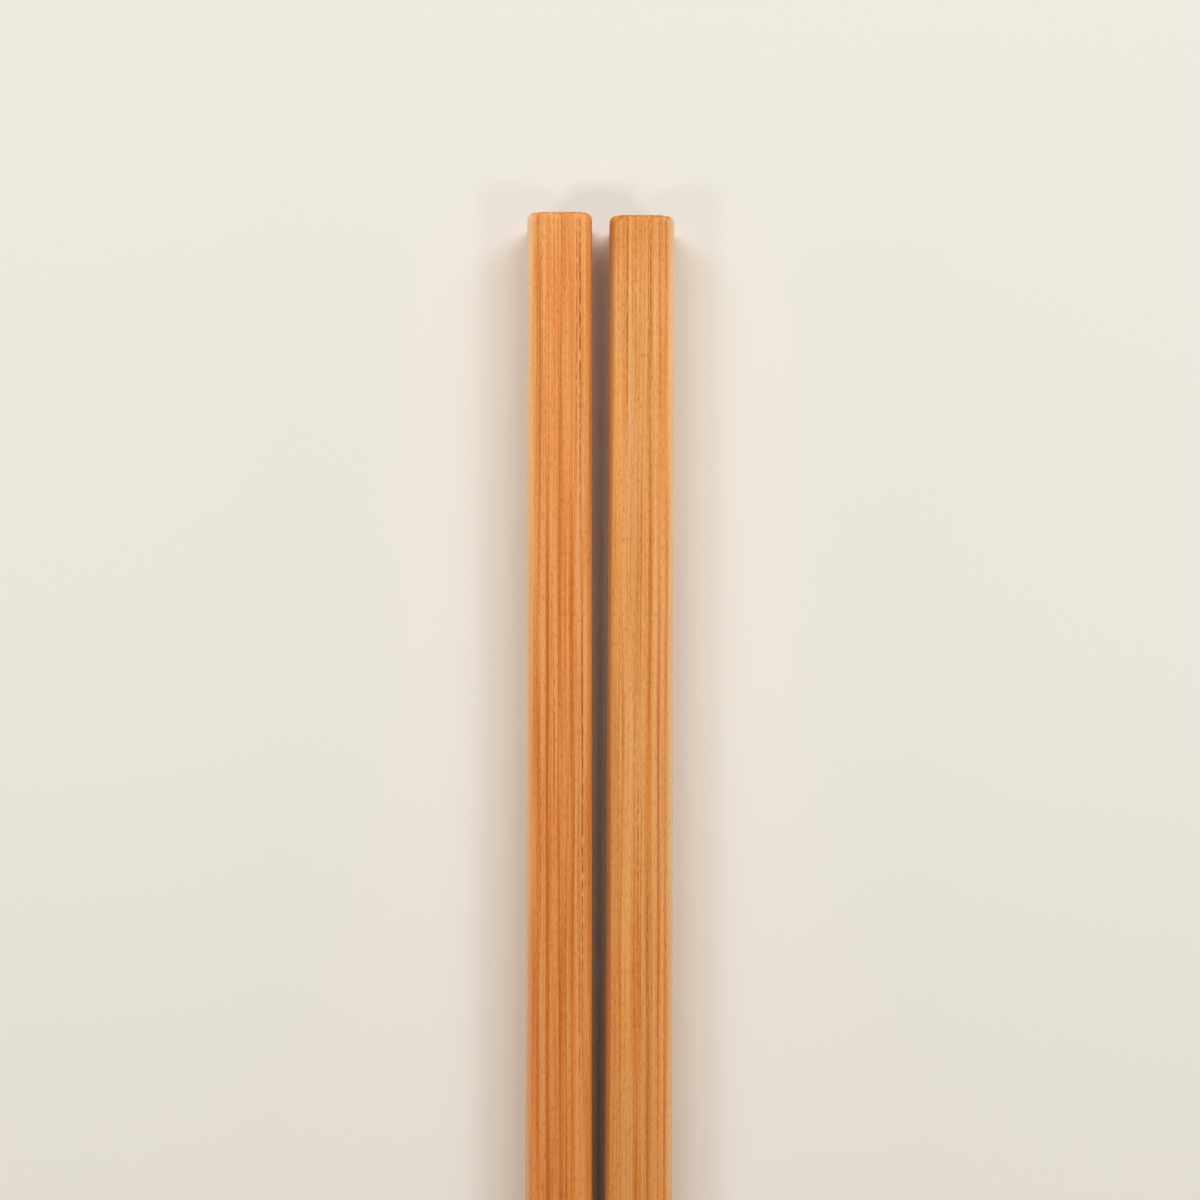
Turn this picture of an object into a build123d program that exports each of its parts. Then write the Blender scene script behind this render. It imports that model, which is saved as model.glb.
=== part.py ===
"""Pair of bamboo chopsticks lying side by side on their flat lower faces.

Each stick is one piece of bamboo. It starts as a square bar with eased long edges and a rounded head.
Its lower half is then turned: a run-out takes the corners away, so that the flats of the bar end in
long arches, and a slender round shaft tapers from there to the tip.

Frame: +Z is up, +Y points to the heads and +X to the right stick. The origin is on the table, midway
between the sticks and midway along them.
"""

import math
import os

from build123d import *

# The square bar, in millimetres
STICK_LENGTH = 240.0
GRIP_WIDTH = 7.0
GRIP_HEIGHT = 7.0
EDGE_RADIUS = 0.8
HEAD_ROUNDING = 0.6

# The turned part, with both lengths measured from the tip, in millimetres
TURNED_LENGTH = 125.0
SHAFT_LENGTH = 80.0
SHAFT_DIAMETER = 6.6
TIP_DIAMETER = 4.0
TIP_ROUNDING = 1.2

# How the pair lies, in millimetres and degrees
HEAD_GAP = 1.9
HEAD_STAGGER = 0.33
CLOSING_ANGLE = 0.34


def grip_bar():
    """Square bar along -Y from its head at the origin, with its axis on Y."""
    section = Plane.XZ * RectangleRounded(GRIP_WIDTH, GRIP_HEIGHT, EDGE_RADIUS)
    bar = extrude(section, STICK_LENGTH)
    head = bar.faces().sort_by(Axis.Y)[-1]
    return fillet(head.edges(), HEAD_ROUNDING)


def turned_blank():
    """Slender turned form about Y that trims the bar. It meets the bar's corners at the turned length."""
    corner_reach = math.hypot(GRIP_WIDTH / 2 - EDGE_RADIUS, GRIP_HEIGHT / 2 - EDGE_RADIUS) + EDGE_RADIUS
    tip_radius = TIP_DIAMETER / 2
    shaft_radius = SHAFT_DIAMETER / 2
    widening = (corner_reach - shaft_radius) / (TURNED_LENGTH - SHAFT_LENGTH)
    head_radius = shaft_radius + widening * (STICK_LENGTH - SHAFT_LENGTH)
    outline = Polyline(
        (0, -STICK_LENGTH),
        (tip_radius, -STICK_LENGTH),
        (shaft_radius, SHAFT_LENGTH - STICK_LENGTH),
        (head_radius, 0),
        (0, 0),
        close=True,
    )
    profile = make_face(outline)
    tip_corner = profile.vertices().group_by(Axis.Y)[0].sort_by(Axis.X)[-1]
    return revolve(fillet(tip_corner, TIP_ROUNDING), Axis.Y)


def chopstick():
    """One stick along -Y from its head at the origin, resting on the plane Z = 0."""
    return Pos(0, 0, GRIP_HEIGHT / 2) * (grip_bar() & turned_blank())


def laid_down(stick, side):
    """The stick in its place in the pair. Side is -1 for the left stick and +1 for the right one."""
    head_x = side * (GRIP_WIDTH + HEAD_GAP) / 2
    head_y = (STICK_LENGTH - side * HEAD_STAGGER) / 2
    turn = -side * CLOSING_ANGLE / 2
    return Pos(head_x, head_y, 0) * Rot(0, 0, turn) * stick


def main():
    stick = chopstick()
    os.makedirs("parts", exist_ok=True)
    export_step(laid_down(stick, -1), "parts/left_chopstick.step")
    export_step(laid_down(stick, +1), "parts/right_chopstick.step")


main()
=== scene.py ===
import math

import bmesh
import bpy
from mathutils import Matrix, Vector, noise


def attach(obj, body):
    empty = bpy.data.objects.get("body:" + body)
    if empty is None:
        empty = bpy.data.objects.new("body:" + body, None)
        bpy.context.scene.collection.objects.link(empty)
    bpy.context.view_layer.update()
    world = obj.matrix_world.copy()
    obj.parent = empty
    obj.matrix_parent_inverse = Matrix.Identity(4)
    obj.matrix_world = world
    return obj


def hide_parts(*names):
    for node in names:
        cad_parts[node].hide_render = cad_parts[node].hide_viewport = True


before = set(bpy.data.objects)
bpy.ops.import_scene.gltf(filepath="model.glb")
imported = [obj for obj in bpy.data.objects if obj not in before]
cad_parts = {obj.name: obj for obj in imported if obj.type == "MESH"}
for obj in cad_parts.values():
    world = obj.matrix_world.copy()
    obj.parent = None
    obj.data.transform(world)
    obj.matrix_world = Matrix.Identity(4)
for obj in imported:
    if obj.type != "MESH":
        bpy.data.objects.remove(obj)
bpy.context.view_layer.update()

# Lengths of shapes are metres. Lengths in the grain pattern are millimetres.
MM = 0.001

# One stick, with its head at the origin, its length along -Y and its lower face on Z = 0
STICK_LENGTH = 240 * MM
GRIP_WIDTH = 7 * MM
GRIP_HEIGHT = 7 * MM
EDGE_RADIUS = 0.8 * MM
HEAD_ROUNDING = 0.6 * MM
TURNED_LENGTH = 125 * MM
SHAFT_LENGTH = 80 * MM
SHAFT_DIAMETER = 6.6 * MM
TIP_DIAMETER = 4 * MM
TIP_ROUNDING = 1.2 * MM
AXIS_HEIGHT = GRIP_HEIGHT / 2

# How the pair lies
LEFT_SIDE = -1
RIGHT_SIDE = 1
HEAD_GAP = 1.9 * MM
HEAD_STAGGER = 0.33 * MM
CLOSING_ANGLE = math.radians(0.34)

# How finely a stick's surface is divided
NEAR = 0.001 * MM
FLAT_CUTS = 35
EDGE_STEPS = 7
LENGTH_ROUNDS = 2
LENGTH_CUTS = 15
HEAD_STEPS = 6
TIP_CUTS = 5
CAP_RINGS = (0.93, 0.85, 0.8)

# Ridges left by the plane, chips torn out of the arris round the head, and corners worn round by handling.
# The pitches and the ridges' length are millimetres. The level and the start are values of the noise.
RIDGE_PITCH = 0.45
RIDGE_LENGTH = 30.0
RIDGE_LEVEL = 0.5
RIDGE_DEPTH = 0.012 * MM
CHIP_PITCH = 0.6
CHIP_START = 0.05
CHIP_DEPTH = 0.3 * MM
CHIP_REACH = 0.5 * MM
CORNER_REACH = 1.6 * MM
CORNER_WEAR = 0.38 * MM
CORNER_LENGTH = 2.5 * MM
CORNER_SHARPNESS = 1.5

# How steeply the painted highlight on the outer arris ends at the side face, and the length over which the
# painted highlight and the painted shade of the arrises end at the run-out
ARRIS_STEEPNESS = 3
ARRIS_RUN_OUT = 12 * MM

# Shares of the map: the length runs up it, the way round runs across it, and the two ends lie beside
ROUND_SHARE = 0.9
CAP_SHARE = 0.08
CAP_MIDDLES = {"head": (0.95, 0.06), "tip": (0.95, 0.16)}
CAP_FACING = 0.6

# Widths and lengths of the fibre pattern in millimetres, with the detail of its noise
FIBRE_SIZES = {
    "band": (1.7, 80.0, 1.0),
    "line": (0.34, 60.0, 1.0),
    "hair": (0.15, 22.0, 1.0),
    "fade": (0.8, 20.0, 0.0),
    "grit": (0.12, 0.4, 1.0),
    "speckle": (0.1, 0.8, 0.0),
    "dash": (0.3, 1.3, 1.0),
    "blush": (0.45, 45.0, 0.0),
}
# How far each swings the tone between pale ground and dark bundle
FIBRE_SWINGS = {"band": 0.25, "line": 0.75, "hair": 1.75, "grit": 0.6}
GROUND_TONE = 0.34
TONE_STOPS = (0.0, 0.5, 1.0)
NOISE_MIDDLE = 0.5

# How far the fibres wander from side to side in millimetres, and how fast their noise runs per millimetre
WANDER = 0.16
WANDER_STEP = (0.08, 0.015, 0.08)

# Height of the upper face in millimetres, and the heights between which its own bundles take over
UPPER_FACE = GRIP_HEIGHT / MM
UPPER_FROM = 6.0
UPPER_BY = 6.6

# Millimetres from the head over which a painted sheen fades into a deeper colour and the painted highlight
# on the outer arris narrows, shares of that length over which its bundles grow from weak to strong, and
# millimetres over which the head is toasted
SHEEN_AND_GROWTH_LENGTH = 115.0
GROWTH_FROM = 0.05
GROWTH_BY = 0.5
GROWTH_AT_HEAD = 0.5
GROWTH_BELOW = 1.5
TOASTED_LENGTH = 9.0

# Ranges of the noise at which bundles fade, pores open, and the hue drifts
FADE_FROM = 0.3
FADE_BY = 0.7
FADE_WEAK = 0.45
FADE_STRONG = 1.35
SPECKLE_FROM = 0.6
SPECKLE_BY = 0.72
SPECKLE_DEPTH = 0.24
DASH_FROM = 0.38
DASH_BY = 0.52
BLUSH_FROM = 0.35
BLUSH_BY = 0.65

# How many times as long as wide the short bundles and the lines of pores are
SPINDLE_SLENDERNESS = 90.0
PORE_SLENDERNESS = 240.0

# Fibre strands of the other faces and of the ends: spacing in millimetres, reach of the strand and of its
# core as shares of that, and how dark and how pored they are
STRAND_SPACING = 0.8
STRAND_EDGE = 0.5
STRAND_MIDDLE = 0.1
STRAND_PALE = -0.05
STRAND_DARK = 0.5
STRAND_CORE_EDGE = 0.27
STRAND_CORE_MIDDLE = 0.12
STRAND_PORES = 0.4

# Colours and finish that both sticks share
PORE_COLOUR = "#8A3400"
# Painted sheen: white at the head and a deeper tint at the foot, for lamp gloss that falls off down the
# stick
HEAD_PAINTED_SHEEN = "#FFFFFF"
FOOT_PAINTED_SHEEN = "#E3D4C4"
VIVID_TINT = "#FFFDEE"
DULL_TINT = "#F7FAFF"
# The outer arris colour and its shares are a painted highlight where the edge catches the side light,
# strongest at the head
OUTER_ARRIS_HIGHLIGHT = "#F8DDB0"
OUTER_HIGHLIGHT_AT_HEAD = 0.82
OUTER_HIGHLIGHT_AT_FOOT = 0.36
# Painted shade on the inner arris, which faces the gap and gets less light
INNER_ARRIS_SHADE_COLOUR = "#9C5520"
END_PALE = "#AA6C38"
END_BROWN = "#84481C"
END_STRAND = "#54290E"
END_GRAIN_FROM = 0.5
END_GRAIN_BY = 0.9
END_GRAIN_DEPTH = 0.85
SATIN_ON_PALE = 0.42
SATIN_ON_DARK = 0.54
SATIN_GLOSS = 0.3
VESSEL_SINK = 0.15
RELIEF_STRENGTH = 0.5
FIBRE_RELIEF = 0.02 * MM

# Grain of each stick, in millimetres on its upper face.
# Streaks: offset from the middle, half width and depth. A negative depth is pale.
# Spindles, which taper out at both ends, and lines of cut vessels: offset, middle measured down from the
# head, half width and depth.
# Tones: pale ground, middle and dark bundle. Toasting darkens the head, and the last value paints shade
# onto the inner arris beside the gap.
LEFT_GRAIN = {
    "seed": 11.3,
    "streaks": (
        (-2.30, 0.42, 0.30),
        (-1.75, 0.35, -0.15),
        (-1.22, 0.38, 0.42),
        (-0.45, 0.40, -0.10),
        (0.11, 0.42, 0.38),
        (0.74, 0.16, 0.25),
        (1.33, 0.40, 0.36),
        (2.02, 0.55, -0.25),
        (2.70, 0.25, -0.20),
    ),
    "spindles": (
        (-2.92, 8, 0.22, 0.22),
        (-2.02, 10, 0.24, 0.31),
        (-0.62, 14, 0.22, 0.25),
        (0.30, 6, 0.18, 0.19),
        (0.60, 16, 0.16, 0.22),
        (0.86, 5, 0.16, 0.22),
        (1.90, 12, 0.2, 0.25),
        (2.12, 9, 0.14, 0.37),
        (2.42, 14, 0.16, 0.43),
        (2.90, 6, 0.18, 0.25),
        (-1.55, 22, 0.16, 0.19),
        (-0.10, 26, 0.2, 0.19),
        (-2.75, 52, 0.2, 0.3),
        (-0.62, 60, 0.18, 0.35),
        (0.52, 80, 0.18, 0.3),
        (2.46, 50, 0.2, 0.5),
        (2.98, 66, 0.2, 0.35),
        (-1.7, 84, 0.18, 0.3),
        (2.2, 92, 0.2, 0.3),
    ),
    "pore_lines": (
        (2.20, 14, 0.14, 1.0),
        (1.84, 12, 0.12, 0.65),
        (2.48, 66, 0.14, 0.95),
        (2.16, 84, 0.11, 0.6),
        (-1.87, 6, 0.11, 0.55),
        (-0.60, 10, 0.11, 0.55),
        (-0.50, 62, 0.11, 0.5),
        (0.66, 78, 0.11, 0.6),
        (-1.98, 70, 0.1, 0.5),
    ),
    "tones": ("#F7AF6D", "#EB9240", "#D4711A"),
    "toasting": -0.13,
    "inner_shade": 0.12,
}
RIGHT_GRAIN = {
    "seed": 47.9,
    "streaks": (
        (-1.95, 0.25, 0.15),
        (-1.10, 0.50, -0.22),
        (-0.60, 0.22, 0.22),
        (-0.27, 0.18, 0.20),
        (0.13, 0.22, 0.25),
        (0.42, 0.20, -0.15),
        (0.97, 0.42, 0.38),
        (1.55, 0.40, -0.25),
        (2.00, 0.28, 0.22),
        (2.40, 0.25, -0.22),
        (2.77, 0.22, 0.15),
    ),
    "spindles": (
        (-2.95, 8, 0.22, 0.15),
        (-2.05, 12, 0.2, 0.22),
        (-1.48, 8, 0.22, 0.2),
        (-0.70, 8, 0.2, 0.2),
        (-0.36, 11, 0.18, 0.2),
        (0.70, 8, 0.22, 0.2),
        (0.98, 12, 0.16, 0.25),
        (1.92, 9, 0.22, 0.15),
        (2.62, 14, 0.2, 0.22),
        (3.05, 7, 0.16, 0.22),
        (-1.0, 48, 0.14, 0.35),
        (-2.3, 40, 0.18, 0.3),
        (-2.75, 60, 0.2, 0.3),
        (-1.55, 86, 0.2, 0.35),
        (0.08, 92, 0.3, 0.35),
        (0.62, 70, 0.16, 0.3),
        (2.72, 56, 0.2, 0.35),
        (-0.45, 84, 0.16, 0.3),
        (-1.4, 82, 0.5, -0.25),
    ),
    "pore_lines": (
        (-1.56, 8, 0.13, 0.7),
        (-0.65, 6, 0.12, 0.6),
        (0.94, 5, 0.13, 0.7),
        (0.70, 12, 0.11, 0.5),
        (-2.50, 9, 0.11, 0.45),
        (1.90, 5, 0.11, 0.45),
        (2.70, 9, 0.11, 0.4),
        (-2.29, 64, 0.11, 0.55),
        (-0.55, 60, 0.11, 0.5),
        (-0.16, 70, 0.12, 0.65),
        (0.40, 50, 0.1, 0.4),
        (0.85, 80, 0.11, 0.5),
    ),
    "tones": ("#F7B675", "#EB9C4B", "#D57A25"),
    "toasting": 0.24,
    "inner_shade": 0.65,
}

# The paper under the pair, in metres. Painted shade deepens it a little towards the front, where the lamps
# reach less, and its look evens out away from the middle of the photographed part.
PAPER_SIZE = 24
PAPER_COLOUR = "#EDECE7"
FRONT_PAPER_SHADE = "#E8E5DF"
FRONT_FROM = 65 * MM
FRONT_BY = 10 * MM
FAR_PAPER_COLOUR = "#E9E6DC"
EVEN_CENTRE = (0, 75 * MM, 0)
EVEN_FROM = 100 * MM
EVEN_BY = 380 * MM
PAPER_DULLNESS = 0.9

# Soft lamps in mirrored pairs, with the right back lamp stronger than the left one: place, aim, size,
# watts and colour
HEADS = (0, STICK_LENGTH / 2, 0)
GRIPS = (0, 0.06, 0)
COOL = "#ECF0FF"
WARM = "#FFFBF2"
GOLDEN = "#FFF7E4"
LAMPS = {
    "right_back_lamp": ((0.82, 0.78, 0.98), HEADS, (0.60, 0.68), 5.6, COOL),
    "left_back_lamp": ((-0.82, 0.78, 0.98), HEADS, (0.60, 0.68), 4.2, COOL),
    "right_front_lamp": ((0.82, -0.62, 1.0), HEADS, (0.3, 0.3), 2.6, WARM),
    "left_front_lamp": ((-0.82, -0.62, 1.0), HEADS, (0.3, 0.3), 2.6, WARM),
    "right_top_lamp": ((0.272, 0.62, 0.95), (0.272, 0.36, 0), (0.35, 0.62), 3.22, GOLDEN),
    "left_top_lamp": ((-0.272, 0.62, 0.95), (-0.272, 0.36, 0), (0.35, 0.62), 3.22, GOLDEN),
    "right_low_panel": ((1.1, 0.06, 0.18), GRIPS, (1.2, 0.2), 1.46, WARM),
    "left_low_panel": ((-1.1, 0.06, 0.18), GRIPS, (1.2, 0.2), 1.46, WARM),
}
ROOM_LIGHT = 0.14

# The photograph's camera: a portrait lens held above the grips and leaned a little towards the heads
IMAGE_WIDTH_PX = 1200
FOCAL_LENGTH_PX = 2837.7
SENSOR_WIDTH = 36.0
CAMERA_PLACE = (0.006 * MM, 44.99 * MM, 307 * MM)
CAMERA_LEAN = math.radians(6.258)
CAMERA_ROLL = math.radians(0.13)
NEAREST_VIEW = 10 * MM


def linear(hex_colour):
    """Linear RGBA of an sRGB hex colour."""
    parts = [int(hex_colour[i:i + 2], 16) / 255 for i in (1, 3, 5)]
    return [p / 12.92 if p <= 0.04045 else ((p + 0.055) / 1.055) ** 2.4 for p in parts] + [1.0]


def add(tree, kind, inputs=None, **settings):
    """Add a node with its settings, and give its inputs values or links."""
    made = tree.nodes.new(kind)
    for name, value in settings.items():
        setattr(made, name, value)
    for name, value in (inputs or {}).items():
        if isinstance(value, bpy.types.NodeSocket):
            tree.links.new(value, made.inputs[name])
        else:
            made.inputs[name].default_value = value
    return made


# The stick's form


def select_edges(piece, wanted):
    """In edit mode, select the edges whose two end points answer to wanted, and nothing else."""
    bpy.ops.mesh.select_mode(type="EDGE")
    bpy.ops.mesh.select_all(action="DESELECT")
    shape = bmesh.from_edit_mesh(piece.data)
    for edge in shape.edges:
        edge.select_set(wanted(edge.verts[0].co, edge.verts[1].co))
    bmesh.update_edit_mesh(piece.data)


def along_stick(a, b):
    """Whether an edge between two points runs along the stick."""
    return abs(a.x - b.x) < NEAR and abs(a.z - b.z) < NEAR


def square_bar(name):
    """Square bar with eased long edges and a rounded head, divided finely enough to carry the grain."""
    bpy.ops.object.select_all(action="DESELECT")
    bpy.ops.mesh.primitive_cube_add(
        size=1,
        location=(0, -STICK_LENGTH / 2, AXIS_HEIGHT),
        scale=(GRIP_WIDTH, STICK_LENGTH, GRIP_HEIGHT),
    )
    bar = bpy.context.object
    bar.name = name
    bpy.ops.object.transform_apply(location=True, rotation=True, scale=True)
    bpy.ops.object.mode_set(mode="EDIT")
    select_edges(bar, along_stick)
    bpy.ops.mesh.bevel(offset=EDGE_RADIUS, segments=EDGE_STEPS, affect="EDGES")
    flat = GRIP_WIDTH - 2 * EDGE_RADIUS
    select_edges(bar, lambda a, b: abs(a.y - b.y) < NEAR and (a - b).length > flat / 2)
    bpy.ops.mesh.subdivide(number_cuts=FLAT_CUTS)
    for _ in range(LENGTH_ROUNDS):
        select_edges(bar, along_stick)
        bpy.ops.mesh.subdivide(number_cuts=LENGTH_CUTS)
    select_edges(bar, lambda a, b: max(abs(a.y), abs(b.y)) < NEAR)
    bpy.ops.mesh.bevel(offset=HEAD_ROUNDING, segments=HEAD_STEPS, affect="EDGES")
    tip_reach = -STICK_LENGTH + TIP_ROUNDING
    select_edges(bar, lambda a, b: along_stick(a, b) and min(a.y, b.y) < tip_reach)
    bpy.ops.mesh.subdivide(number_cuts=TIP_CUTS)
    bpy.ops.object.mode_set(mode="OBJECT")
    return bar


def turn_lower_half(stick):
    """Bring in to the turned form whatever stands outside it: run-out, tapered shaft and rounded tip."""
    corner = math.hypot(GRIP_WIDTH / 2 - EDGE_RADIUS, GRIP_HEIGHT / 2 - EDGE_RADIUS) + EDGE_RADIUS
    shaft = SHAFT_DIAMETER / 2
    tip = TIP_DIAMETER / 2
    for vertex in stick.data.vertices:
        from_tip = vertex.co.y + STICK_LENGTH
        if from_tip > SHAFT_LENGTH:
            radius = shaft + (corner - shaft) * (from_tip - SHAFT_LENGTH) / (TURNED_LENGTH - SHAFT_LENGTH)
        else:
            radius = tip + (shaft - tip) * from_tip / SHAFT_LENGTH
        if from_tip < TIP_ROUNDING:
            swing = math.pi / 2 * from_tip / TIP_ROUNDING
            radius -= TIP_ROUNDING * (1 - math.sin(swing))
            vertex.co.y = TIP_ROUNDING * (1 - math.cos(swing)) - STICK_LENGTH
        reach = math.hypot(vertex.co.x, vertex.co.z - AXIS_HEIGHT)
        if reach > radius:
            vertex.co.x *= radius / reach
            vertex.co.z = AXIS_HEIGHT + (vertex.co.z - AXIS_HEIGHT) * radius / reach


def ring_end_faces(stick):
    """Draw rings in from the rims of the head face and the tip face, so that their shading stays flat."""
    bpy.ops.object.mode_set(mode="EDIT")
    for end_y in (0, -STICK_LENGTH):
        bpy.ops.mesh.select_mode(type="FACE")
        bpy.ops.mesh.select_all(action="DESELECT")
        shape = bmesh.from_edit_mesh(stick.data)
        for face in shape.faces:
            face.select_set(all(abs(v.co.y - end_y) < NEAR for v in face.verts))
        bmesh.update_edit_mesh(stick.data)
        for share in CAP_RINGS:
            bpy.ops.mesh.extrude_region_move()
            bpy.ops.transform.resize(value=(share, 1, share), center_override=(0, end_y, AXIS_HEIGHT))
    bpy.ops.object.mode_set(mode="OBJECT")


def wear_corners(stick):
    """Round the four corners of the head a little more than its edges."""
    for vertex in stick.data.vertices:
        left_over = 1 + vertex.co.y / CORNER_LENGTH
        near_side = 1 - (GRIP_WIDTH / 2 - abs(vertex.co.x)) / CORNER_REACH
        near_face = 1 - (GRIP_HEIGHT / 2 - abs(vertex.co.z - AXIS_HEIGHT)) / CORNER_REACH
        if min(left_over, near_side, near_face) > 0:
            vertex.co.y -= CORNER_WEAR * near_side ** CORNER_SHARPNESS * near_face * left_over


def tear_fibres(stick, seed):
    """Sink the surface a little between fine ridges, and chip the arris round the head."""
    chipped_from = GRIP_WIDTH / 2 - HEAD_ROUNDING - CHIP_REACH
    facings = [vertex.normal.copy() for vertex in stick.data.vertices]
    for vertex, facing in zip(stick.data.vertices, facings):
        x, y, z = vertex.co / MM
        ridge = noise.noise(Vector((x / RIDGE_PITCH + seed, y / RIDGE_LENGTH, z / RIDGE_PITCH)))
        sink = RIDGE_DEPTH * max(0.0, RIDGE_LEVEL + ridge)
        if vertex.co.y > -HEAD_ROUNDING:
            chip = noise.noise(Vector((x / CHIP_PITCH, seed, z / CHIP_PITCH)))
            from_axis = max(abs(vertex.co.x), abs(vertex.co.z - AXIS_HEIGHT))
            near_rim = min(1.0, max(0.0, (from_axis - chipped_from) / CHIP_REACH))
            sink += CHIP_DEPTH * max(0.0, chip - CHIP_START) * near_rim
        vertex.co -= facing * sink


def mark_surface(stick, side):
    """Keep how squarely each point cuts across the fibres, and how far it lies round an eased edge."""
    for kind in ("end_grain", "outer_arris", "inner_arris"):
        stick.data.attributes.new(kind, "FLOAT", "POINT")
    marks = stick.data.attributes
    facings = [vertex.normal.copy() for vertex in stick.data.vertices]
    for vertex, facing in zip(stick.data.vertices, facings):
        marks["end_grain"].data[vertex.index].value = abs(facing.y)
        lean = math.atan2(abs(facing.x), abs(facing.z))
        square_part = min(1.0, max(0.0, (vertex.co.y + STICK_LENGTH - TURNED_LENGTH) / ARRIS_RUN_OUT))
        if vertex.co.x * side > 0:
            rim = math.sin(lean) * min(1.0, ARRIS_STEEPNESS * math.cos(lean))
            marks["outer_arris"].data[vertex.index].value = rim * square_part
        else:
            marks["inner_arris"].data[vertex.index].value = math.sin(2 * lean) ** 2 * square_part


def map_surface(stick):
    """Map the stick with its way round drawn wide, because the grain is far finer across than along."""
    stick.data.uv_layers.new(name="OFBake")
    layer = stick.data.uv_layers["OFBake"].data
    for face in stick.data.polygons:
        if abs(face.normal.y) > CAP_FACING:
            middle = CAP_MIDDLES["head" if face.center.y > -STICK_LENGTH / 2 else "tip"]
            for corner in face.loop_indices:
                point = stick.data.vertices[stick.data.loops[corner].vertex_index].co
                across = point.x / GRIP_WIDTH * CAP_SHARE
                up = (point.z - AXIS_HEIGHT) / GRIP_HEIGHT * CAP_SHARE
                layer[corner].uv = (middle[0] + across, middle[1] + up)
            continue
        for corner in face.loop_indices:
            point = stick.data.vertices[stick.data.loops[corner].vertex_index].co
            way_round = 0.5 + math.atan2(point.x, point.z - AXIS_HEIGHT) / math.tau
            if abs(point.x) < NEAR and point.z < AXIS_HEIGHT:
                way_round = 1.0 if face.center.x > 0 else 0.0
            layer[corner].uv = (way_round * ROUND_SHARE, 1 + point.y / STICK_LENGTH)


def lay_down(stick, side):
    """Put the stick in its place in the pair. Side is -1 for the left stick and +1 for the right one."""
    head = Vector((side * (GRIP_WIDTH + HEAD_GAP) / 2, (STICK_LENGTH - side * HEAD_STAGGER) / 2, 0))
    turn = -side * CLOSING_ANGLE / 2
    stick.data.transform(Matrix.Translation(head) @ Matrix.Rotation(turn, 4, "Z"))
    return head, turn


# The bamboo


def wandering_grain(tree, on_stick):
    """Millimetres on the stick for fibres that wander a little from side to side."""
    slow = add(tree, "ShaderNodeVectorMath", {0: on_stick, 1: WANDER_STEP}, operation="MULTIPLY").outputs[0]
    sway = add(tree, "ShaderNodeTexNoise", {"Vector": slow, "Scale": 1.0, "Detail": 1.0}).outputs["Color"]
    middle = (NOISE_MIDDLE, NOISE_MIDDLE, NOISE_MIDDLE)
    centred = add(tree, "ShaderNodeVectorMath", {0: sway, 1: middle}, operation="SUBTRACT").outputs[0]
    return add(
        tree,
        "ShaderNodeVectorMath",
        {0: centred, 1: (WANDER, 0, WANDER), 2: on_stick},
        operation="MULTIPLY_ADD",
    ).outputs[0]


def fibre_noise(tree, pattern):
    """Noise drawn out along the fibres at several widths."""
    lines = {}
    for kind, (width, length, detail) in FIBRE_SIZES.items():
        step = (1 / width, 1 / length, 1 / width)
        drawn = add(tree, "ShaderNodeVectorMath", {0: pattern, 1: step}, operation="MULTIPLY").outputs[0]
        field = add(tree, "ShaderNodeTexNoise", {"Vector": drawn, "Scale": 1.0, "Detail": detail})
        lines[kind] = field.outputs[0]
    return lines


def fibre_line(tree, point, centre, half_width, depth):
    """Depth of a line of fibres at a point, which falls off from the line's centre to its half width."""
    reach = add(tree, "ShaderNodeVectorMath", {0: point, 1: centre}, operation="DISTANCE").outputs["Value"]
    return add(
        tree,
        "ShaderNodeMapRange",
        {"Value": reach, "From Min": half_width, "From Max": 0.0, "To Min": 0.0, "To Max": depth},
        interpolation_type="SMOOTHSTEP",
    ).outputs[0]


def upper_bundles(tree, grain, share_down, streaks, spindles):
    """Fibre bundles of the upper face: streaks that grow stronger down the stick, and short spindles."""
    bundles = 0.0
    across = add(tree, "ShaderNodeVectorMath", {0: grain, 1: (1, 0, 1)}, operation="MULTIPLY").outputs[0]
    for x, half_width, depth in streaks:
        streak = fibre_line(tree, across, (x, 0, UPPER_FACE), half_width, depth)
        bundles = add(tree, "ShaderNodeMath", {0: bundles, 1: streak}, operation="ADD").outputs[0]
    growth = add(
        tree,
        "ShaderNodeMapRange",
        {
            "Value": share_down,
            "From Min": GROWTH_FROM,
            "From Max": GROWTH_BY,
            "To Min": GROWTH_AT_HEAD,
            "To Max": GROWTH_BELOW,
        },
    ).outputs[0]
    bundles = add(tree, "ShaderNodeMath", {0: bundles, 1: growth}, operation="MULTIPLY").outputs[0]
    shortened = (1, 1 / SPINDLE_SLENDERNESS, 1)
    drawn_in = add(tree, "ShaderNodeVectorMath", {0: grain, 1: shortened}, operation="MULTIPLY").outputs[0]
    for x, middle, half_width, depth in spindles:
        centre = (x, -middle / SPINDLE_SLENDERNESS, UPPER_FACE)
        spindle = fibre_line(tree, drawn_in, centre, half_width, depth)
        bundles = add(tree, "ShaderNodeMath", {0: bundles, 1: spindle}, operation="ADD").outputs[0]
    return bundles


def strand_sections(tree, pattern):
    """Distance from the nearest strand's centre. Strands are round in section and follow the grain."""
    axes = add(tree, "ShaderNodeSeparateXYZ", {0: pattern}).outputs
    section = add(tree, "ShaderNodeCombineXYZ", {"X": axes["X"], "Y": axes["Z"]}).outputs[0]
    return add(
        tree,
        "ShaderNodeTexVoronoi",
        {"Vector": section, "Scale": 1 / STRAND_SPACING},
        voronoi_dimensions="2D",
    ).outputs["Distance"]


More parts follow.
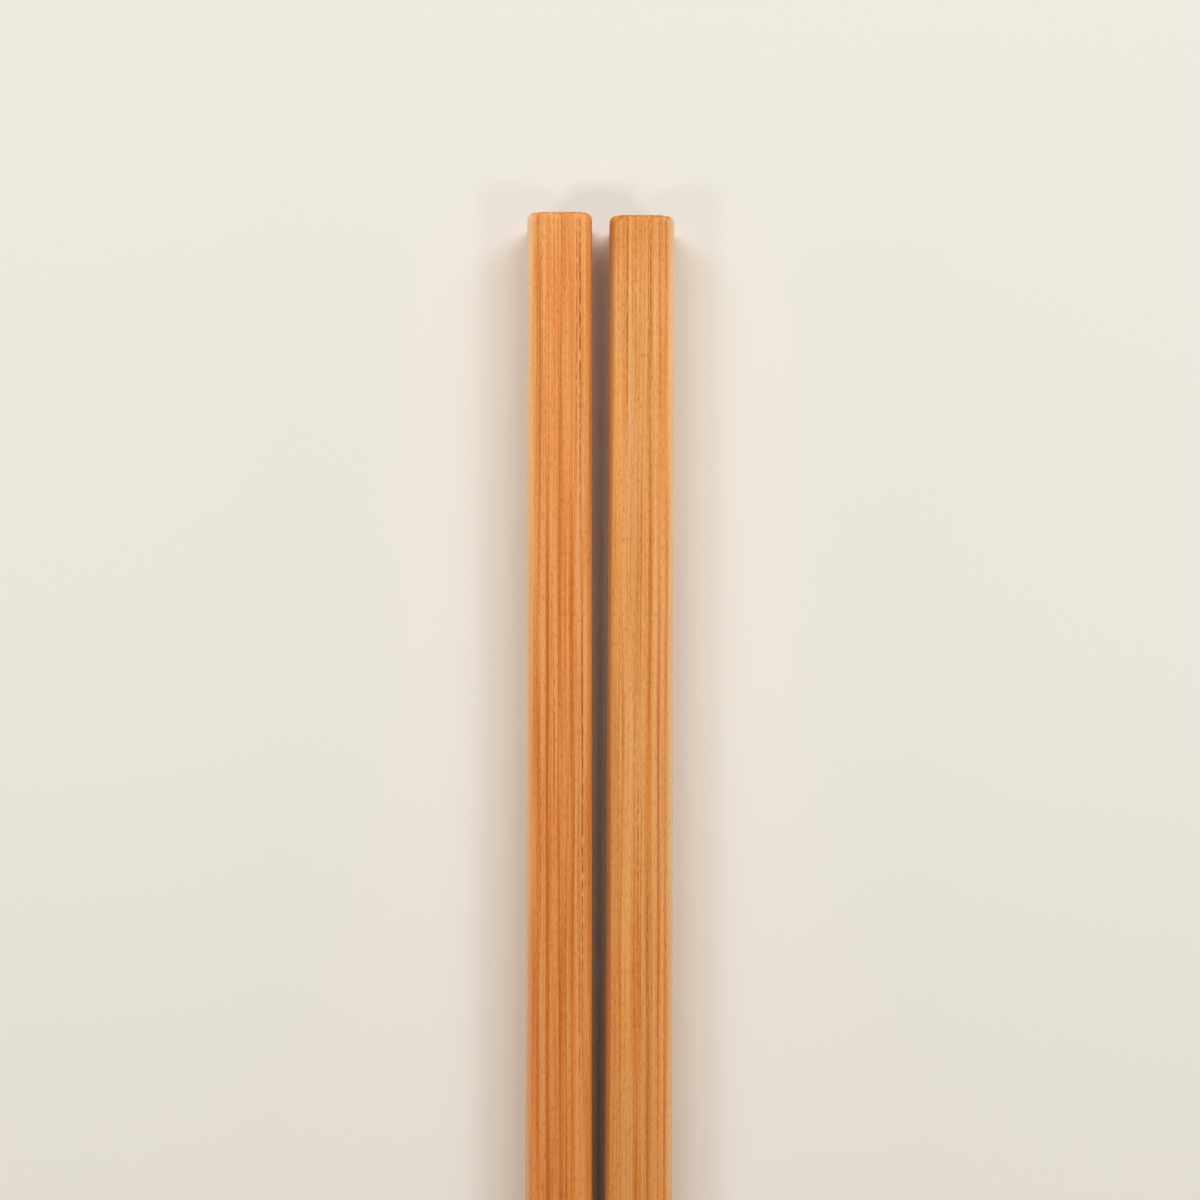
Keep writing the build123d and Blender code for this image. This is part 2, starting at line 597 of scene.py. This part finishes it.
def cut_vessels(tree, grain, lines, pore_lines, strand_core, upper):
    """Cut vessels: dark dashes along some lines and along the strands, and a fine speckle everywhere."""
    vessel = add(
        tree,
        "ShaderNodeMapRange",
        {
            "Value": lines["speckle"],
            "From Min": SPECKLE_FROM,
            "From Max": SPECKLE_BY,
            "To Max": SPECKLE_DEPTH,
        },
    ).outputs[0]
    dash = add(
        tree,
        "ShaderNodeMapRange",
        {"Value": lines["dash"], "From Min": DASH_FROM, "From Max": DASH_BY},
    ).outputs[0]
    shortened = (1, 1 / PORE_SLENDERNESS, 1)
    drawn_in = add(tree, "ShaderNodeVectorMath", {0: grain, 1: shortened}, operation="MULTIPLY").outputs[0]
    for x, middle, half_width, depth in pore_lines:
        centre = (x, -middle / PORE_SLENDERNESS, UPPER_FACE)
        line = fibre_line(tree, drawn_in, centre, half_width, depth)
        broken = add(tree, "ShaderNodeMath", {0: line, 1: dash}, operation="MULTIPLY").outputs[0]
        vessel = add(tree, "ShaderNodeMath", {0: vessel, 1: broken}, operation="MAXIMUM").outputs[0]
    below = add(
        tree,
        "ShaderNodeMapRange",
        {"Value": upper, "To Min": STRAND_PORES, "To Max": 0.0},
    ).outputs[0]
    strand_pores = add(tree, "ShaderNodeMath", {0: strand_core, 1: dash}, operation="MULTIPLY").outputs[0]
    broken = add(tree, "ShaderNodeMath", {0: strand_pores, 1: below}, operation="MULTIPLY").outputs[0]
    return add(tree, "ShaderNodeMath", {0: vessel, 1: broken}, operation="MAXIMUM").outputs[0]


def drifting_hue_and_painted_sheen(tree, colour, lines, share_down):
    """Let the hue drift between vivid and dull orange, and paint a sheen that is palest at the head and
    deepens down the stick.
    """
    blush = add(
        tree,
        "ShaderNodeMapRange",
        {"Value": lines["blush"], "From Min": BLUSH_FROM, "From Max": BLUSH_BY},
    ).outputs[0]
    drift = add(
        tree,
        "ShaderNodeMix",
        {0: blush, 6: linear(VIVID_TINT), 7: linear(DULL_TINT)},
        data_type="RGBA",
    ).outputs[2]
    # Painted sheen, palest at the head and deeper down the stick
    painted_sheen = add(
        tree,
        "ShaderNodeMix",
        {0: share_down, 6: linear(HEAD_PAINTED_SHEEN), 7: linear(FOOT_PAINTED_SHEEN)},
        data_type="RGBA",
    ).outputs[2]
    for tint in (drift, painted_sheen):
        colour = add(
            tree,
            "ShaderNodeMix",
            {0: 1.0, 6: colour, 7: tint},
            data_type="RGBA",
            blend_type="MULTIPLY",
        ).outputs[2]
    return colour


def arris_highlight_and_shade(tree, colour, share_down, inner_shade):
    """Paint a highlight on the outer eased edges, strongest near the head, and paint shade on the inner
    ones.
    """
    # Painted highlight on the outer arris and painted shade on the inner one
    highlight_share = add(
        tree,
        "ShaderNodeMapRange",
        {"Value": share_down, "To Min": OUTER_HIGHLIGHT_AT_HEAD, "To Max": OUTER_HIGHLIGHT_AT_FOOT},
    ).outputs[0]
    arrises = {
        "outer_arris": (highlight_share, OUTER_ARRIS_HIGHLIGHT),
        "inner_arris": (inner_shade, INNER_ARRIS_SHADE_COLOUR),
    }
    for kind, (share, arris_colour) in arrises.items():
        mark = add(tree, "ShaderNodeAttribute", attribute_name=kind).outputs["Fac"]
        arris = add(tree, "ShaderNodeMath", {0: mark, 1: share}, operation="MULTIPLY").outputs[0]
        colour = add(
            tree,
            "ShaderNodeMix",
            {0: arris, 6: colour, 7: linear(arris_colour)},
            data_type="RGBA",
        ).outputs[2]
    return colour


def cut_ends(tree, colour, lines, strand_core):
    """The cut ends drink in the finish: a browner ground with the strands as dark dots."""
    ground = add(
        tree,
        "ShaderNodeMix",
        {0: lines["line"], 6: linear(END_PALE), 7: linear(END_BROWN)},
        data_type="RGBA",
    ).outputs[2]
    dotted = add(
        tree,
        "ShaderNodeMix",
        {0: strand_core, 6: ground, 7: linear(END_STRAND)},
        data_type="RGBA",
    ).outputs[2]
    mark = add(tree, "ShaderNodeAttribute", attribute_name="end_grain").outputs["Fac"]
    end = add(
        tree,
        "ShaderNodeMapRange",
        {"Value": mark, "From Min": END_GRAIN_FROM, "From Max": END_GRAIN_BY, "To Max": END_GRAIN_DEPTH},
    ).outputs[0]
    return add(tree, "ShaderNodeMix", {0: end, 6: colour, 7: dotted}, data_type="RGBA").outputs[2]


# Carbonised bamboo is steamed brown right through and then planed. The eye gets straight, dark fibre
# bundles in a paler orange ground, dashes of open pores, dotted ends, and a satin that is a little duller
# on the bundles. Its colour also carries painted light: a painted sheen that fades from the head down, a
# painted highlight on the outer arrises and painted shade on the inner ones.
def carbonised_bamboo(name, head, turn, seed, streaks, spindles, pore_lines, tones, toasting, inner_shade):
    """Planed carbonised bamboo of one stick, with its grain fixed to that stick."""
    material = bpy.data.materials.new(name)
    material.use_nodes = True
    tree = material.node_tree
    shader = tree.nodes["Principled BSDF"]

    # Millimetres on the stick: x across it, y along it and z up
    place = add(tree, "ShaderNodeTexCoord").outputs["Object"]
    on_stick = add(
        tree,
        "ShaderNodeMapping",
        {"Vector": place, "Location": head, "Rotation": (0, 0, turn), "Scale": (MM, MM, MM)},
        vector_type="TEXTURE",
    ).outputs[0]
    axes = add(tree, "ShaderNodeSeparateXYZ", {0: on_stick}).outputs
    share_down = add(
        tree,
        "ShaderNodeMapRange",
        {"Value": axes["Y"], "From Min": 0.0, "From Max": -SHEEN_AND_GROWTH_LENGTH},
    ).outputs[0]
    upper = add(
        tree,
        "ShaderNodeMapRange",
        {"Value": axes["Z"], "From Min": UPPER_FROM, "From Max": UPPER_BY},
        interpolation_type="SMOOTHSTEP",
    ).outputs[0]

    # Fibre bundles: placed ones near the upper face, and strands elsewhere
    grain = wandering_grain(tree, on_stick)
    pattern = add(
        tree,
        "ShaderNodeVectorMath",
        {0: grain, 1: (seed, seed, seed)},
        operation="ADD",
    ).outputs[0]
    lines = fibre_noise(tree, pattern)
    from_strand = strand_sections(tree, pattern)
    strands = add(
        tree,
        "ShaderNodeMapRange",
        {
            "Value": from_strand,
            "From Min": STRAND_EDGE,
            "From Max": STRAND_MIDDLE,
            "To Min": STRAND_PALE,
            "To Max": STRAND_DARK,
        },
        interpolation_type="SMOOTHSTEP",
    ).outputs[0]
    strand_core = add(
        tree,
        "ShaderNodeMapRange",
        {"Value": from_strand, "From Min": STRAND_CORE_EDGE, "From Max": STRAND_CORE_MIDDLE},
        interpolation_type="SMOOTHSTEP",
    ).outputs[0]
    placed = upper_bundles(tree, grain, share_down, streaks, spindles)
    bundles = add(tree, "ShaderNodeMix", {"Factor": upper, "A": strands, "B": placed}).outputs[0]

    # Each bundle grows stronger and weaker along the stick, and finer lines swing the tone about it
    fade = add(
        tree,
        "ShaderNodeMapRange",
        {
            "Value": lines["fade"],
            "From Min": FADE_FROM,
            "From Max": FADE_BY,
            "To Min": FADE_WEAK,
            "To Max": FADE_STRONG,
        },
    ).outputs[0]
    tone = add(
        tree,
        "ShaderNodeMath",
        {0: bundles, 1: fade, 2: GROUND_TONE},
        operation="MULTIPLY_ADD",
    ).outputs[0]
    for kind, swing in FIBRE_SWINGS.items():
        offset = add(
            tree,
            "ShaderNodeMath",
            {0: lines[kind], 1: NOISE_MIDDLE},
            operation="SUBTRACT",
        ).outputs[0]
        tone = add(
            tree,
            "ShaderNodeMath",
            {0: offset, 1: swing, 2: tone},
            operation="MULTIPLY_ADD",
        ).outputs[0]
    toast = add(
        tree,
        "ShaderNodeMapRange",
        {
            "Value": axes["Y"],
            "From Min": -TOASTED_LENGTH,
            "From Max": 0.0,
            "To Min": 0.0,
            "To Max": toasting,
        },
        interpolation_type="SMOOTHSTEP",
    ).outputs[0]
    tone = add(tree, "ShaderNodeMath", {0: tone, 1: toast}, operation="ADD").outputs[0]

    # The tone's colour, with pores, drifting hue, a painted sheen down the stick, painted highlight and
    # shade on the arrises, and cut ends
    ramp = add(tree, "ShaderNodeValToRGB", {0: tone})
    ramp.color_ramp.elements.new(TONE_STOPS[1])
    for stop, colour, position in zip(ramp.color_ramp.elements, tones, TONE_STOPS):
        stop.position = position
        stop.color = linear(colour)
    vessel = cut_vessels(tree, grain, lines, pore_lines, strand_core, upper)
    pored = add(
        tree,
        "ShaderNodeMix",
        {0: vessel, 6: ramp.outputs[0], 7: linear(PORE_COLOUR)},
        data_type="RGBA",
    ).outputs[2]
    hue_and_sheen = drifting_hue_and_painted_sheen(tree, pored, lines, share_down)
    # Painted highlight on the outer arrises and painted shade on the inner ones
    eased = arris_highlight_and_shade(tree, hue_and_sheen, share_down, inner_shade)
    tree.links.new(cut_ends(tree, eased, lines, strand_core), shader.inputs["Base Color"])

    # Satin finish, and a relief with the bundles proud and the pores sunk
    dullness = add(
        tree,
        "ShaderNodeMapRange",
        {"Value": tone, "To Min": SATIN_ON_PALE, "To Max": SATIN_ON_DARK},
    ).outputs[0]
    tree.links.new(dullness, shader.inputs["Roughness"])
    shader.inputs["Specular IOR Level"].default_value = SATIN_GLOSS
    sunk = add(tree, "ShaderNodeMath", {0: vessel, 1: VESSEL_SINK}, operation="MULTIPLY").outputs[0]
    proud = add(tree, "ShaderNodeMath", {0: tone, 1: sunk}, operation="SUBTRACT").outputs[0]
    relief = add(
        tree,
        "ShaderNodeBump",
        {"Strength": RELIEF_STRENGTH, "Distance": FIBRE_RELIEF, "Height": proud},
    ).outputs[0]
    tree.links.new(relief, shader.inputs["Normal"])
    return material


def plain_stick(name):
    """One stick as both are made: a square bar, turned in its lower half and rounded at its corners."""
    stick = square_bar(name)
    turn_lower_half(stick)
    ring_end_faces(stick)
    wear_corners(stick)
    bpy.ops.object.shade_smooth()
    return stick


def finish_stick(stick, name, side, grain):
    """Give one stick its own torn fibres, its place and its bamboo, attach it to the root body and hide the
    CAD part it replaces.
    """
    tear_fibres(stick, grain["seed"])
    mark_surface(stick, side)
    map_surface(stick)
    head, turn = lay_down(stick, side)
    bamboo = carbonised_bamboo(name + "_carbonised_bamboo", head, turn, **grain)
    stick.data.materials.append(bamboo)
    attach(stick, "root")
    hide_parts(name + "_chopstick")


left_stick = plain_stick("left_bamboo")
bpy.ops.object.duplicate()
right_stick = bpy.context.object
right_stick.name = "right_bamboo"
finish_stick(left_stick, "left", LEFT_SIDE, LEFT_GRAIN)
finish_stick(right_stick, "right", RIGHT_SIDE, RIGHT_GRAIN)

# The paper, the lamps and the camera


# Matt white paper scatters light evenly. The eye gets a pale ground without gloss that takes soft shadows.
def matt_white_paper():
    """Paper that looks as pale far off, where the lamps reach less, as it does round the pair."""
    material = bpy.data.materials.new("matt_white_paper")
    material.use_nodes = True
    tree = material.node_tree
    near = tree.nodes["Principled BSDF"]
    near.inputs["Roughness"].default_value = PAPER_DULLNESS
    place = add(tree, "ShaderNodeTexCoord").outputs["Object"]
    along = add(tree, "ShaderNodeSeparateXYZ", {0: place}).outputs["Y"]
    # Painted shade: the paper darkens towards the front
    front_shade = add(
        tree,
        "ShaderNodeMapRange",
        {"Value": along, "From Min": FRONT_FROM, "From Max": FRONT_BY},
    ).outputs[0]
    paper = add(
        tree,
        "ShaderNodeMix",
        {0: front_shade, 6: linear(PAPER_COLOUR), 7: linear(FRONT_PAPER_SHADE)},
        data_type="RGBA",
    ).outputs[2]
    tree.links.new(paper, near.inputs["Base Color"])
    from_middle = add(tree, "ShaderNodeVectorMath", {0: place, 1: EVEN_CENTRE}, operation="DISTANCE")
    distance = from_middle.outputs["Value"]
    far_share = add(
        tree,
        "ShaderNodeMapRange",
        {"Value": distance, "From Min": EVEN_FROM, "From Max": EVEN_BY},
        interpolation_type="SMOOTHSTEP",
    ).outputs[0]
    rays = add(tree, "ShaderNodeLightPath").outputs
    seen = rays["Is Camera Ray"]
    for kind in ("Is Glossy Ray", "Is Transmission Ray"):
        seen = add(tree, "ShaderNodeMath", {0: seen, 1: rays[kind]}, operation="MAXIMUM").outputs[0]
    share = add(tree, "ShaderNodeMath", {0: far_share, 1: seen}, operation="MULTIPLY").outputs[0]
    far = add(tree, "ShaderNodeEmission", {"Color": linear(FAR_PAPER_COLOUR), "Strength": 1.0}).outputs[0]
    both = add(tree, "ShaderNodeMixShader", {0: share, 1: near.outputs[0], 2: far}).outputs[0]
    tree.links.new(both, tree.nodes["Material Output"].inputs["Surface"])
    return material


bpy.ops.object.select_all(action="DESELECT")
bpy.ops.mesh.primitive_plane_add(size=PAPER_SIZE)
floor = bpy.context.object
floor.name = "paper_floor"
floor.data.materials.append(matt_white_paper())


def hang_lamp(name, place, aim, size, watts, colour):
    """Rectangular soft lamp at a place, facing a point."""
    lamp = bpy.data.lights.new(name, "AREA")
    lamp.shape = "RECTANGLE"
    lamp.size, lamp.size_y = size
    lamp.energy = watts
    lamp.color = linear(colour)[:3]
    holder = bpy.data.objects.new(name, lamp)
    bpy.context.scene.collection.objects.link(holder)
    holder.location = place
    holder.visible_camera = False
    holder.rotation_euler = (Vector(aim) - Vector(place)).to_track_quat("-Z", "Y").to_euler()


for lamp_name, lamp_settings in LAMPS.items():
    hang_lamp(lamp_name, *lamp_settings)

room = bpy.data.worlds.new("room")
room.use_nodes = True
room.node_tree.nodes["Background"].inputs["Color"].default_value = linear(WARM)
room.node_tree.nodes["Background"].inputs["Strength"].default_value = ROOM_LIGHT
bpy.context.scene.world = room

lens = bpy.data.cameras.new("photo_camera")
lens.sensor_width = SENSOR_WIDTH
lens.lens = SENSOR_WIDTH * FOCAL_LENGTH_PX / IMAGE_WIDTH_PX
lens.clip_start = NEAREST_VIEW
camera = bpy.data.objects.new("photo_camera", lens)
bpy.context.scene.collection.objects.link(camera)
camera.location = CAMERA_PLACE
leaned = Matrix.Rotation(CAMERA_LEAN, 3, "X") @ Matrix.Rotation(CAMERA_ROLL, 3, "Z")
camera.rotation_euler = leaned.to_euler()
bpy.context.scene.camera = camera
bpy.context.scene.view_settings.view_transform = "Standard"
